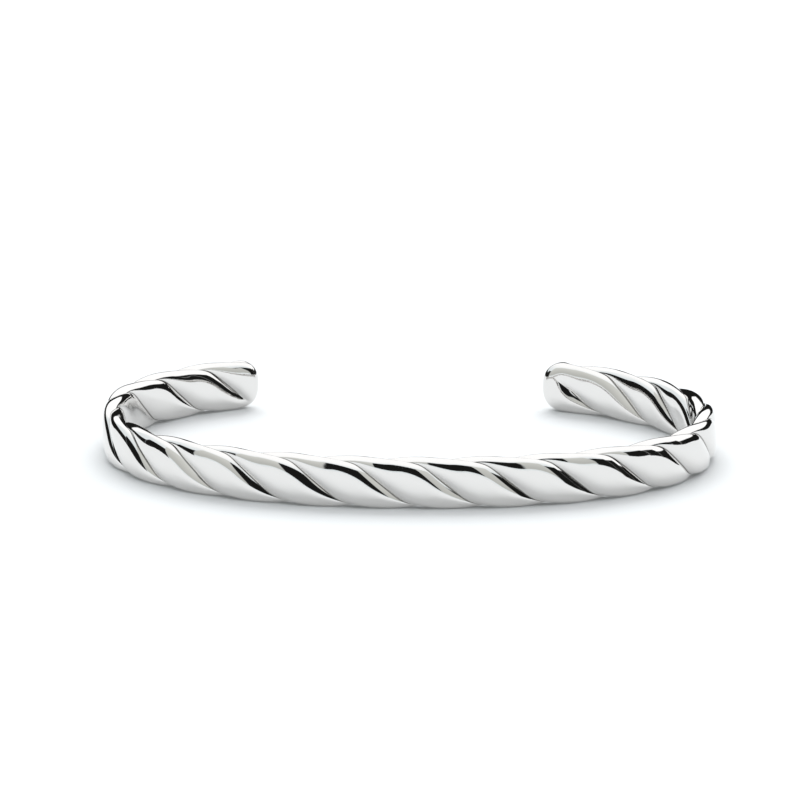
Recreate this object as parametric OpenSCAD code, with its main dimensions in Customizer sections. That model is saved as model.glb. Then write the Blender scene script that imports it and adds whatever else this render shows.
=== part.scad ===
// Open cuff bangle of twisted silver wires, rolled flat, with rounded ends.
// It lies on its side: X is across the wrist, the gap faces +Y and Z is up.

/* [Oval] */
// Outside width of the cuff, left to right
cuff_width = 62.8; // [58:0.1:70]
// Outside depth from the widest place to the front
front_depth = 23; // [20:0.05:28]
// Outside depth from the widest place to the back, as if the oval had no gap
back_depth = 23.75; // [22:0.05:28]
// Squareness of the oval seen from above: 2 is an ellipse
oval_power = 2.19; // [2:0.01:2.6]
// The same for the right-hand arm, which is bent in more evenly than the left
right_arm_power = 2; // [2:0.01:2.6]
// Length of metal to the left of the front, along the middle of the band
left_length = 67.9; // [58:0.05:70]
// Length of metal to the right of the front, along the middle of the band
right_length = 68.85; // [58:0.05:70]

/* [Band] */
// Height of the band, along the wrist
band_height = 5.15; // [4:0.05:7]
// Thickness of the band, from the wrist outwards
band_thickness = 2.5; // [1.8:0.1:3.2]
// Squareness of the band's section: 2 is an ellipse
section_power = 3.1; // [2.2:0.1:3.4]

/* [Twist] */
// Number of wires in the twist
wire_count = 3; // [2:1:3]
// Length of the band in which a wire goes once round
lay_length = 19.37; // [14:0.01:30]
// Turn of the twist at the front, in degrees
lay_phase = 64.5; // [0:0.5:359.5]
// Depth of the groove between two wires on the flat faces
face_groove = 0.5; // [0.2:0.05:0.65]
// Depth of the groove between two wires on the narrow edges
edge_groove = 0.4; // [0.1:0.05:0.55]
// How flat a wire's crown is on the flat faces: higher is flatter, with a narrower groove
face_crown = 3.6; // [2:0.1:6]
// How flat a wire's crown is on the narrow edges
edge_crown = 1.8; // [1.6:0.1:6]

/* [Ends] */
// Length over which an end closes, seen from the side
tip_length = 2.5; // [1.5:0.1:3.5]
// Length over which an end closes, seen from above
nose_length = 1.3; // [0.8:0.1:1.5]
// Squareness of an end: 2 is round
tip_power = 2.3; // [2:0.05:3]
// Distance from an end at which the grooves have died out
groove_stop = 1.4; // [0.5:0.1:3]
// Length over which the grooves die out
groove_fade = 2.2; // [1:0.1:5]

/* [Hidden] */

silver = [0.87, 0.87, 0.86];

half_height = band_height / 2;
half_thickness = band_thickness / 2;
// The oval's half sizes along the middle of the band
oval_x = cuff_width / 2 - half_thickness;
oval_front = front_depth - half_thickness;
oval_back = back_depth - half_thickness;

// Places across one wire, from its groove at -1 to its crown at 0
wire_places = [-1, -0.9, -0.78, -0.62, -0.42, -0.2, 0, 0.2, 0.42, 0.62, 0.78, 0.9];
columns = wire_count * len(wire_places);
// Longest step between two sections
section_step = 0.95;
// Sections inside each end's rounding
tip_sections = 6;
// Half the turn over which the middle line's direction is taken
direction_turn = 0.1;

// Point of a squared oval of half sizes a and b; t runs from 0 to 360 round it
function oval(t, a, b, power) =
    pow(pow(abs(cos(t)), power) + pow(abs(sin(t)), power), -1 / power) * [a * cos(t), b * sin(t)];

// Point of the band's middle line
function middle_point(t) =
    let (
        depth = sin(t) < 0 ? oval_front : oval_back,
        power = sin(t) > 0 && cos(t) > 0 ? right_arm_power : oval_power
    ) oval(t, oval_x, depth, power);

// The middle line's length against direction, with 0 at the front, which is at -90 degrees
oval_steps = 720;
oval_turn = [for (i = [0:oval_steps]) 360 * i / oval_steps - 270];
oval_run = [
    for (i = 0, run = 0; i <= oval_steps;
         run = run + (i < oval_steps ? norm(middle_point(oval_turn[i + 1]) - middle_point(oval_turn[i])) : 0),
         i = i + 1) run
];
turn_at_length = [
    for (i = [0:oval_steps]) [oval_run[i] - oval_run[oval_steps / 2], oval_turn[i]]
];

// 0 to 1, level at both ends
function ease(x) = let (c = min(max(x, 0), 1)) c * c * (3 - 2 * c);

// Share of its full size that a section has, at a distance from the end
function end_share(distance, length) =
    distance >= length ? 1 : pow(1 - pow(1 - distance / length, tip_power), 1 / tip_power);

// Distances from an end to the sections in its rounding, closest first
tip_places = [for (i = [1:tip_sections]) tip_length * (1 - cos(90 * i / tip_sections))];
// Places of all the sections along the band
body_length = left_length + right_length - 2 * tip_length;
body_sections = ceil(body_length / section_step);
section_places = concat(
    [for (d = tip_places) d - left_length],
    [for (i = [1:body_sections - 1]) tip_length - left_length + body_length * i / body_sections],
    [for (i = [tip_sections - 1:-1:0]) right_length - tip_places[i]]
);

// Place in a section, as [outwards, up], of the surface in the direction t,
// sunk straight into the metal by the given depth
function section_point(t, depth) =
    let (
        p = oval(t, half_thickness, half_height, section_power),
        slope = section_power - 1,
        out = sign(cos(t)) * pow(abs(p.x) / half_thickness, slope) / half_thickness,
        up = sign(sin(t)) * pow(abs(p.y) / half_height, slope) / half_height
    ) p - depth * [out, up] / norm([out, up]);

// One section of the band, as points in space, at a length along it from the front
function section_ring(along) =
    let (
        turn = lookup(along, turn_at_length),
        centre = middle_point(turn),
        step = middle_point(turn + direction_turn) - middle_point(turn - direction_turn),
        outwards = [step.y, -step.x] / norm(step),
        distance = min(left_length + along, right_length - along),
        share_out = end_share(distance, nose_length),
        share_up = end_share(distance, tip_length),
        strength = ease((distance - groove_stop) / groove_fade),
        twist = lay_phase - 360 * along / lay_length
    ) [
        for (wire = [0:wire_count - 1], place = wire_places)
            let (
                t = twist + 360 * (wire + (place + 1) / 2) / wire_count,
                edge = pow(sin(t), 2),
                groove = face_groove + (edge_groove - face_groove) * edge,
                crown = face_crown + (edge_crown - face_crown) * edge,
                p = section_point(t, strength * groove * pow(abs(place), crown)),
                flat = centre + share_out * p.x * outwards
            ) [flat.x, flat.y, share_up * p.y]
    ];

function tip_point(along) =
    let (p = middle_point(lookup(along, turn_at_length))) [p.x, p.y, 0];

band_rings = [for (along = section_places) section_ring(along)];
band_points = concat(
    [for (ring = band_rings, p = ring) p],
    [tip_point(-left_length), tip_point(right_length)]
);
ring_count = len(section_places);
left_tip = ring_count * columns;
right_tip = left_tip + 1;
last_ring = (ring_count - 1) * columns;

// Triangles between each section and the next, then the fans that close the ends
band_faces = concat(
    [
        for (i = [0:ring_count - 2], j = [0:columns - 1], half = [0, 1])
            let (
                a = i * columns + j,
                b = i * columns + (j + 1) % columns,
                c = a + columns,
                d = b + columns
            ) half == 0 ? [a, c, d] : [a, d, b]
    ],
    [for (j = [0:columns - 1]) [left_tip, j, (j + 1) % columns]],
    [for (j = [0:columns - 1]) [right_tip, last_ring + (j + 1) % columns, last_ring + j]]
);

// The origin is under the middle of the bounding box, on the surface that the cuff lies on
function middle(values) = (min(values) + max(values)) / 2;
band_origin = [
    middle([for (p = band_points) p.x]),
    middle([for (p = band_points) p.y]),
    min([for (p = band_points) p.z])
];

module twisted_cuff() {
    color(silver)
        translate(-band_origin)
            polyhedron(points = band_points, faces = band_faces, convexity = 4);
}

twisted_cuff();
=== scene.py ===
import math

import bpy
import numpy as np
from mathutils import Matrix, Vector


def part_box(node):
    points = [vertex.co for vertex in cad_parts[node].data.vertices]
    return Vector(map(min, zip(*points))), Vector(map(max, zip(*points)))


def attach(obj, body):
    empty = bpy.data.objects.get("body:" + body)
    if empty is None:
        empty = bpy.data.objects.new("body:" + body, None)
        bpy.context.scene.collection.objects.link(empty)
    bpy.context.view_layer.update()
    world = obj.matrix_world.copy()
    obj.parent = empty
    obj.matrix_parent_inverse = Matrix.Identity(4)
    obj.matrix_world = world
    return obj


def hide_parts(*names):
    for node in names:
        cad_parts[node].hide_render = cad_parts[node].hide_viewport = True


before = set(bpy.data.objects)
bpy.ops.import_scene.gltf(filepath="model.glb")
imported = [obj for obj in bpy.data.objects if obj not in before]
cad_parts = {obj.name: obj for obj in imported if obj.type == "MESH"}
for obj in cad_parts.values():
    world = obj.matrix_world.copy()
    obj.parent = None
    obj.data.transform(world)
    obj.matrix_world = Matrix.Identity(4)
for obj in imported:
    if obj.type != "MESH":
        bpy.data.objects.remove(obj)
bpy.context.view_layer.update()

# A millimetre in metres
MM = 0.001

# The cuff's sizes in millimetres: its oval, as seen from above, and its band.
# They are the same as the solid's, apart from the grooves at the two ends.
CUFF_WIDTH = 62.8
FRONT_DEPTH = 23.0
BACK_DEPTH = 23.75
OVAL_POWER = 2.19
RIGHT_ARM_POWER = 2.0
LEFT_LENGTH = 67.9
RIGHT_LENGTH = 68.85
BAND_HEIGHT = 5.15
BAND_THICKNESS = 2.5
SECTION_POWER = 3.1
HALF_HEIGHT = BAND_HEIGHT / 2.0
HALF_THICKNESS = BAND_THICKNESS / 2.0
OVAL_X = CUFF_WIDTH / 2.0 - HALF_THICKNESS
OVAL_FRONT = FRONT_DEPTH - HALF_THICKNESS
OVAL_BACK = BACK_DEPTH - HALF_THICKNESS

# The twist
WIRES = 3
LAY_LENGTH = 19.37
LAY_PHASE = 64.5
FACE_GROOVE = 0.5
EDGE_GROOVE = 0.4
FACE_CROWN = 3.6
EDGE_CROWN = 1.8

# The ends: lengths over which they close, as seen from the side and from above, and the
# distances from them at which the grooves have died out
TIP_LENGTH = 2.5
NOSE_LENGTH = 1.3
TIP_POWER = 2.3
LEFT_GROOVE_STOP = 0.5
RIGHT_GROOVE_STOP = 1.4
GROOVE_FADE = 2.2
# The wires turn a little less over the last stretch of the right arm
RIGHT_END_TURN = 21.0
RIGHT_END_RUN = 11.0

# How finely the middle line is divided, and half the length over which its direction is taken
LINE_POINTS = 7201
HALF_DIRECTION_STEP = 0.05
# How finely the surface is divided
SECTION_STEP = 0.26
TIP_SECTIONS = 16
HALF_WIRE_COLUMNS = 22
# How much closer the columns lie near a groove: 1 is evenly spaced
COLUMN_GATHERING = 1.4

# The silver. Nearness to a groove is 0 on a crown and 1 in the groove.
SILVER_COLOUR = (0.755, 0.742, 0.728, 1.0)
# Painted shade: deep in the grooves, where the wires shade each other, the silver is darkened towards
# the colour below over the nearness range below. It is also made rougher there.
CREASE_SHADE_COLOUR = (0.18, 0.175, 0.165, 1.0)
CREASE_SHADE_NEARNESS = (0.945, 1.0)
CREASE_ROUGHNESS = 0.12
RUBBED_ROUGHNESS = (0.025, 0.06)
RUBBED_NOISE = (0.35, 0.7)
# Cells of noise in a metre and its detail, shares of those cells along each axis, and depths
# in millimetres
RUBBED_CELLS = 450.0
RUBBED_DETAIL = 3.0
DENT_CELLS = 620.0
DENT_DETAIL = 2.0
DENT_SHARES = (1.0, 1.0, 0.6)
DENT_DEPTH = 0.003
SCRATCH_CELLS = 2600.0
SCRATCH_DETAIL = 2.0
SCRATCH_SHARES = (1.0, 1.0, 6.0)
SCRATCH_DEPTH = 0.0006

# The floor. The metal mirrors it with softer shadows than the camera sees on it.
FLOOR_REACH = 12.0
FLOOR_COLOUR = (0.675, 0.69, 0.70, 1.0)
FLOOR_ROUGHNESS = 0.9
FLOOR_GLOSS = 0.1
FLOOR_GLOW = 0.04
MIRRORED_SHARE = 0.83
MIRRORED_GLOW = 0.29

# The studio, as the metal mirrors it. Elevations are above the table and sides are angles
# from the camera's side, to the right, all in degrees.
TENT_COLOUR = (1.33, 1.34, 1.35, 1.0)
LOW_TENT_COLOUR = (0.98, 1.05, 1.08, 1.0)
LOW_TENT_ELEVATIONS = (28.0, 64.0)
LOW_TENT_SIDES = (-140.0, 80.0)
LOW_TENT_EDGE = 10.0
BLACK = 0.012
# Grey cards and black gaps: lowest and highest elevation, leftmost and rightmost side,
# brightness at the bottom and at the top
PATCHES = [
    (4.5, 42.0, -70.0, -19.5, 0.60, 0.85),
    (4.5, 42.0, 27.5, 56.0, 0.60, 0.80),
    (4.5, 39.0, -19.5, 27.5, BLACK, BLACK),
    (1.5, 31.0, 56.0, 82.0, BLACK, BLACK),
    (-2.0, 26.5, 82.0, 101.0, BLACK, BLACK),
    (-2.0, 16.0, 101.0, 200.0, BLACK, BLACK),
    (-2.0, 25.0, -101.0, -70.0, BLACK, BLACK),
    (-2.0, 17.0, -200.0, -101.0, BLACK, BLACK),
]
PATCH_EDGE = 0.8
PATCH_TINT = (0.98, 1.0, 0.96)
# What the camera itself sees above the floor's far edge
BACKDROP_COLOUR = (1.0, 1.0, 1.0, 1.0)

# The softbox: the direction from the cuff to it, how wide it looks in degrees, and its strength
SOFTBOX_DIRECTION = (0.0, 0.8, 0.76)
SOFTBOX_WIDTH = 55.0
SOFTBOX_STRENGTH = 2.5

# The camera, fitted to the photograph: distance in millimetres, angles in degrees
CAMERA_DISTANCE = 900.0
CAMERA_AZIMUTH = -0.32
CAMERA_ELEVATION = 14.04
CAMERA_ROLL = 0.525
CAMERA_CLIP = (0.05, 100.0)
SENSOR_WIDTH = 36.0
IMAGE_SIZE = 800
PIXELS_PER_MM = 9.798
OVAL_CENTRE_PIXEL = (409.18, 429.45)


def squared_radius(c, s, power):
    """Radius of a squared circle in the direction whose cosine and sine are given: 2 is round."""
    return (np.abs(c) ** power + np.abs(s) ** power) ** (-1.0 / power)


def middle_line():
    """The band's middle line: lengths along it from the front, and x and y at those lengths.

    The front is at -90 degrees.
    """
    turn = np.radians(np.linspace(-270.0, 90.0, LINE_POINTS))
    c, s = np.cos(turn), np.sin(turn)
    power = np.where((s > 0.0) & (c > 0.0), RIGHT_ARM_POWER, OVAL_POWER)
    radius = squared_radius(c, s, power)
    x = OVAL_X * radius * c
    y = np.where(s < 0.0, OVAL_FRONT, OVAL_BACK) * radius * s
    run = np.concatenate([[0.0], np.cumsum(np.hypot(np.diff(x), np.diff(y)))])
    return run - run[len(run) // 2], x, y


def place_on(line, along):
    """The x and y of the middle line at the given lengths along it."""
    run, line_x, line_y = line
    return np.interp(along, run, line_x), np.interp(along, run, line_y)


def outwards_from(line, along):
    """The x and y of the unit vectors that point out of the oval, square to the middle line."""
    ahead_x, ahead_y = place_on(line, along + HALF_DIRECTION_STEP)
    behind_x, behind_y = place_on(line, along - HALF_DIRECTION_STEP)
    step_x, step_y = ahead_x - behind_x, ahead_y - behind_y
    size = np.hypot(step_x, step_y)
    return step_y / size, -step_x / size


def ease(x):
    """Rises from 0 to 1, level at both ends."""
    c = np.clip(x, 0.0, 1.0)
    return c * c * (3.0 - 2.0 * c)


def end_share(distance, length):
    """Share of its full size that a section has, at a distance from the end."""
    left = 1.0 - np.clip(distance / length, 0.0, 1.0)
    return (1.0 - left ** TIP_POWER) ** (1.0 / TIP_POWER)


def section_places():
    """Lengths along the band at which a section is drawn."""
    angle = np.radians(90.0 * np.arange(1, TIP_SECTIONS + 1) / TIP_SECTIONS)
    tip = TIP_LENGTH * (1.0 - np.cos(angle))
    body = LEFT_LENGTH + RIGHT_LENGTH - 2.0 * TIP_LENGTH
    steps = int(math.ceil(body / SECTION_STEP))
    middle = TIP_LENGTH - LEFT_LENGTH + body * np.arange(1, steps) / steps
    return np.concatenate([tip - LEFT_LENGTH, middle, (RIGHT_LENGTH - tip)[::-1]])


def wire_places():
    """Places across one wire, from its groove at -1 over its crown at 0, closer near the groove."""
    k = np.arange(-HALF_WIRE_COLUMNS, HALF_WIRE_COLUMNS) / HALF_WIRE_COLUMNS
    return np.sign(k) * (1.0 - (1.0 - np.abs(k)) ** COLUMN_GATHERING)


def grooved_section(turn, nearness, strength):
    """Places outwards and up, in a section, of the surface in the directions turn."""
    c, s = np.cos(turn), np.sin(turn)
    radius = squared_radius(c, s, SECTION_POWER)
    out, up = HALF_THICKNESS * radius * c, HALF_HEIGHT * radius * s
    # A groove is sunk along the surface's normal
    slope = SECTION_POWER - 1.0
    normal_out = np.sign(c) * np.abs(out / HALF_THICKNESS) ** slope / HALF_THICKNESS
    normal_up = np.sign(s) * np.abs(up / HALF_HEIGHT) ** slope / HALF_HEIGHT
    length = np.hypot(normal_out, normal_up)
    edge = s * s
    groove = FACE_GROOVE + (EDGE_GROOVE - FACE_GROOVE) * edge
    crown = FACE_CROWN + (EDGE_CROWN - FACE_CROWN) * edge
    depth = strength * groove * nearness ** crown
    return out - depth * normal_out / length, up - depth * normal_up / length


def band_faces(rings, columns):
    """Quads between each section and the next, then the fans that close the two ends."""
    i = np.arange(rings - 1)[:, None] * columns
    j = np.arange(columns)
    following = (j + 1) % columns
    a, b = i + j[None, :], i + following[None, :]
    quads = np.stack([a, b, b + columns, a + columns], -1).reshape(-1, 4)
    last = (rings - 1) * columns
    left_tip = rings * columns
    right_tip = left_tip + 1
    left = np.stack([np.full(columns, left_tip), following, j], -1)
    right = np.stack([np.full(columns, right_tip), last + j, last + following], -1)
    return quads.tolist() + left.tolist() + right.tolist()


def cuff_mesh():
    """Points and faces of the twisted band, in millimetres about the middle of the oval.

    The third list says how near each point is to a groove: 0 on a crown, 1 in a groove.
    """
    line = middle_line()
    along = section_places()
    from_left, from_right = along + LEFT_LENGTH, RIGHT_LENGTH - along
    distance = np.minimum(from_left, from_right)
    groove_stop = np.where(from_left < from_right, LEFT_GROOVE_STOP, RIGHT_GROOVE_STOP)
    strength = ease((distance - groove_stop) / GROOVE_FADE)[:, None]
    held_back = RIGHT_END_TURN * ease(1.0 - from_right / RIGHT_END_RUN)
    twist = LAY_PHASE - 360.0 * along / LAY_LENGTH + held_back

    places = wire_places()
    across = np.concatenate([360.0 * (w + (places + 1.0) / 2.0) / WIRES for w in range(WIRES)])
    nearness = np.abs(np.tile(places, WIRES))[None, :]
    turn = np.radians(twist[:, None] + across[None, :])
    out, up = grooved_section(turn, nearness, strength)
    out = end_share(distance, NOSE_LENGTH)[:, None] * out
    up = end_share(distance, TIP_LENGTH)[:, None] * up

    centre_x, centre_y = place_on(line, along)
    out_x, out_y = outwards_from(line, along)
    x = centre_x[:, None] + out * out_x[:, None]
    y = centre_y[:, None] + out * out_y[:, None]
    points = np.stack([x, y, up], -1).reshape(-1, 3)
    tips = [[*place_on(line, end), 0.0] for end in (-LEFT_LENGTH, RIGHT_LENGTH)]
    creases = np.concatenate([(strength * nearness).ravel(), [0.0, 0.0]])
    return np.vstack([points, tips]), band_faces(*x.shape), creases


def make_cuff(material):
    """The cuff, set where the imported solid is, and the place of the middle of its oval."""
    points, faces, creases = cuff_mesh()
    low, high = (np.array(corner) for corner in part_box("twisted_cuff"))
    points = points * MM
    shift = (low + high) / 2.0 - (points.min(0) + points.max(0)) / 2.0
    mesh = bpy.data.meshes.new("twisted_band")
    mesh.from_pydata((points + shift).tolist(), [], faces)
    mesh.update()
    mesh.shade_smooth()
    crease = mesh.attributes.new("crease", "FLOAT", "POINT")
    crease.data.foreach_set("value", creases)
    mesh.materials.append(material)
    cuff = bpy.data.objects.new("twisted_band", mesh)
    bpy.context.scene.collection.objects.link(cuff)
    return cuff, Vector(shift)


def put(tree, socket, value):
    """Links a socket to a node's output, or sets it to a number or a colour."""
    if isinstance(value, bpy.types.NodeSocket):
        tree.links.new(value, socket)
    else:
        socket.default_value = value


def math_node(tree, operation, *values):
    node = tree.nodes.new("ShaderNodeMath")
    node.operation = operation
    for socket, value in zip(node.inputs, values):
        put(tree, socket, value)
    return node.outputs[0]


def map_range(tree, value, given, wanted=(0.0, 1.0), smooth=True):
    """The first wanted value up to the first given one, and the second from the second on."""
    node = tree.nodes.new("ShaderNodeMapRange")
    node.interpolation_type = "SMOOTHSTEP" if smooth else "LINEAR"
    put(tree, node.inputs["Value"], value)
    node.inputs["From Min"].default_value, node.inputs["From Max"].default_value = given
    node.inputs["To Min"].default_value, node.inputs["To Max"].default_value = wanted
    return node.outputs[0]


def mixed(tree, share, first, second):
    """The first colour where share is 0 and the second where it is 1."""
    node = tree.nodes.new("ShaderNodeMix")
    node.data_type = "RGBA"
    factor, colour_a, colour_b = node.inputs[0], node.inputs[6], node.inputs[7]
    for socket, value in ((factor, share), (colour_a, first), (colour_b, second)):
        put(tree, socket, value)
    return node.outputs[2]


def window(tree, value, low, high, soft):
    """1 between low and high, and 0 outside, over a soft edge."""
    above_low = map_range(tree, value, (low - soft, low + soft))
    above_high = map_range(tree, value, (high - soft, high + soft))
    return math_node(tree, "SUBTRACT", above_low, above_high)


def new_material(name):
    """A material with an empty node tree."""
    material = bpy.data.materials.new(name)
    material.use_nodes = True
    material.node_tree.nodes.clear()
    return material, material.node_tree


def polished_silver():
    """Bright silver with faint rubbing marks, with painted shade and more roughness deep between the
    wires.
    """
    material, tree = new_material("polished_silver")
    coords = tree.nodes.new("ShaderNodeTexCoord")
    shader = tree.nodes.new("ShaderNodeBsdfPrincipled")
    shader.inputs["Metallic"].default_value = 1.0

    def noise(cells, detail, shares=(1.0, 1.0, 1.0)):
        mapping = tree.nodes.new("ShaderNodeMapping")
        mapping.inputs["Scale"].default_value = shares
        tree.links.new(coords.outputs["Object"], mapping.inputs["Vector"])
        node = tree.nodes.new("ShaderNodeTexNoise")
        node.inputs["Scale"].default_value = cells
        node.inputs["Detail"].default_value = detail
        tree.links.new(mapping.outputs[0], node.inputs["Vector"])
        return node.outputs[0]

    def bump(height, depth):
        node = tree.nodes.new("ShaderNodeBump")
        node.inputs["Distance"].default_value = depth * MM
        tree.links.new(height, node.inputs["Height"])
        return node

    crease = tree.nodes.new("ShaderNodeAttribute")
    crease.attribute_name = "crease"
    # Painted shade: this mask darkens the colour near the bottom of each groove, and it also raises
    # the roughness there
    crease_shade_and_dulling = map_range(tree, crease.outputs["Fac"], CREASE_SHADE_NEARNESS)
    colour = mixed(tree, crease_shade_and_dulling, SILVER_COLOUR, CREASE_SHADE_COLOUR)
    tree.links.new(colour, shader.inputs["Base Color"])

    rubbed = map_range(tree, noise(RUBBED_CELLS, RUBBED_DETAIL), RUBBED_NOISE, RUBBED_ROUGHNESS)
    roughness = math_node(tree, "MULTIPLY_ADD", crease_shade_and_dulling, CREASE_ROUGHNESS, rubbed)
    tree.links.new(roughness, shader.inputs["Roughness"])

    dents = bump(noise(DENT_CELLS, DENT_DETAIL, DENT_SHARES), DENT_DEPTH)
    scratches = bump(noise(SCRATCH_CELLS, SCRATCH_DETAIL, SCRATCH_SHARES), SCRATCH_DEPTH)
    tree.links.new(dents.outputs[0], scratches.inputs["Normal"])
    tree.links.new(scratches.outputs[0], shader.inputs["Normal"])
    out = tree.nodes.new("ShaderNodeOutputMaterial")
    tree.links.new(shader.outputs["BSDF"], out.inputs["Surface"])
    return material


def pale_floor():
    """Matt and pale, with lighter shadows where the metal mirrors it than where the camera sees it."""
    material, tree = new_material("pale_floor")

    def paper(share, glow):
        shader = tree.nodes.new("ShaderNodeBsdfPrincipled")
        shader.inputs["Base Color"].default_value = [share * v for v in FLOOR_COLOUR[:3]] + [1.0]
        shader.inputs["Roughness"].default_value = FLOOR_ROUGHNESS
        shader.inputs["Specular IOR Level"].default_value = FLOOR_GLOSS
        shader.inputs["Emission Color"].default_value = FLOOR_COLOUR
        shader.inputs["Emission Strength"].default_value = glow
        return shader.outputs["BSDF"]

    seen = tree.nodes.new("ShaderNodeLightPath")
    mix = tree.nodes.new("ShaderNodeMixShader")
    tree.links.new(seen.outputs["Is Camera Ray"], mix.inputs[0])
    tree.links.new(paper(MIRRORED_SHARE, MIRRORED_GLOW), mix.inputs[1])
    tree.links.new(paper(1.0, FLOOR_GLOW), mix.inputs[2])
    out = tree.nodes.new("ShaderNodeOutputMaterial")
    tree.links.new(mix.outputs[0], out.inputs["Surface"])
    return material


def make_floor():
    """A square floor that reaches beyond what any view shows."""
    mesh = bpy.data.meshes.new("floor")
    r = FLOOR_REACH
    mesh.from_pydata([(-r, -r, 0.0), (r, -r, 0.0), (r, r, 0.0), (-r, r, 0.0)], [], [(0, 1, 2, 3)])
    mesh.materials.append(pale_floor())
    floor = bpy.data.objects.new("floor", mesh)
    bpy.context.scene.collection.objects.link(floor)


def make_studio():
    """A white tent, darker low down, with cards and black gaps just above the table.

    The camera sees a plain white backdrop in its place.
    """
    world = bpy.data.worlds.new("studio")
    bpy.context.scene.world = world
    world.use_nodes = True
    tree = world.node_tree
    tree.nodes.clear()
    coords = tree.nodes.new("ShaderNodeTexCoord")
    split = tree.nodes.new("ShaderNodeSeparateXYZ")
    tree.links.new(coords.outputs["Generated"], split.inputs[0])
    x, y, z = split.outputs

    def degrees(angle):
        return math_node(tree, "MULTIPLY", angle, 180.0 / math.pi)

    elevation = degrees(math_node(tree, "ARCSINE", z))
    side = degrees(math_node(tree, "ARCTAN2", x, math_node(tree, "MULTIPLY", y, -1.0)))

    low = math_node(tree, "SUBTRACT", 1.0, map_range(tree, elevation, LOW_TENT_ELEVATIONS))
    low = math_node(tree, "MULTIPLY", low, window(tree, side, *LOW_TENT_SIDES, LOW_TENT_EDGE))
    colour = mixed(tree, low, TENT_COLOUR, LOW_TENT_COLOUR)
    for lowest, highest, leftmost, rightmost, bottom, top in PATCHES:
        up_down = window(tree, elevation, lowest, highest, PATCH_EDGE)
        left_right = window(tree, side, leftmost, rightmost, PATCH_EDGE)
        inside = math_node(tree, "MULTIPLY", up_down, left_right)
        height = map_range(tree, elevation, (lowest, highest), smooth=False)
        shades = [tuple(tint * v for tint in PATCH_TINT) + (1.0,) for v in (bottom, top)]
        colour = mixed(tree, inside, colour, mixed(tree, height, *shades))
    seen = tree.nodes.new("ShaderNodeLightPath")
    colour = mixed(tree, seen.outputs["Is Camera Ray"], colour, BACKDROP_COLOUR)
    background = tree.nodes.new("ShaderNodeBackground")
    tree.links.new(colour, background.inputs["Color"])
    out = tree.nodes.new("ShaderNodeOutputWorld")
    tree.links.new(background.outputs[0], out.inputs["Surface"])


def make_softbox():
    """A wide soft light above and behind the cuff, so that its shadow falls towards the camera."""
    light = bpy.data.lights.new("softbox", "SUN")
    light.angle = math.radians(SOFTBOX_WIDTH)
    light.energy = SOFTBOX_STRENGTH
    softbox = bpy.data.objects.new("softbox", light)
    softbox.visible_glossy = False
    softbox.rotation_euler = Vector(SOFTBOX_DIRECTION).to_track_quat("Z", "Y").to_euler()
    bpy.context.scene.collection.objects.link(softbox)


def make_camera(oval_centre):
    """Puts the middle of the oval on its pixel of the photograph."""
    a, e, roll = (math.radians(v) for v in (CAMERA_AZIMUTH, CAMERA_ELEVATION, CAMERA_ROLL))
    back = Vector((math.sin(a) * math.cos(e), -math.cos(a) * math.cos(e), math.sin(e)))
    level = Vector((math.cos(a), math.sin(a), 0.0))
    upright = back.cross(level)
    right = math.cos(roll) * level + math.sin(roll) * upright
    up = math.cos(roll) * upright - math.sin(roll) * level
    half = IMAGE_SIZE / 2.0
    off_right, off_down = ((v - half) / PIXELS_PER_MM * MM for v in OVAL_CENTRE_PIXEL)
    place = oval_centre + back * CAMERA_DISTANCE * MM
    target = oval_centre - right * off_right + up * off_down
    back = (place - target).normalized()
    right = up.cross(back).normalized()
    up = back.cross(right)
    data = bpy.data.cameras.new("camera")
    data.sensor_width = SENSOR_WIDTH
    data.lens = SENSOR_WIDTH * PIXELS_PER_MM * CAMERA_DISTANCE / IMAGE_SIZE
    data.clip_start, data.clip_end = CAMERA_CLIP
    camera = bpy.data.objects.new("camera", data)
    turn = Matrix((right, up, back)).transposed().to_4x4()
    camera.matrix_world = Matrix.Translation(place) @ turn
    bpy.context.scene.collection.objects.link(camera)
    bpy.context.scene.camera = camera


cuff, oval_centre = make_cuff(polished_silver())
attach(cuff, "root")
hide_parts("twisted_cuff")
make_floor()
make_studio()
make_softbox()
make_camera(oval_centre)
bpy.context.scene.view_settings.view_transform = "Standard"
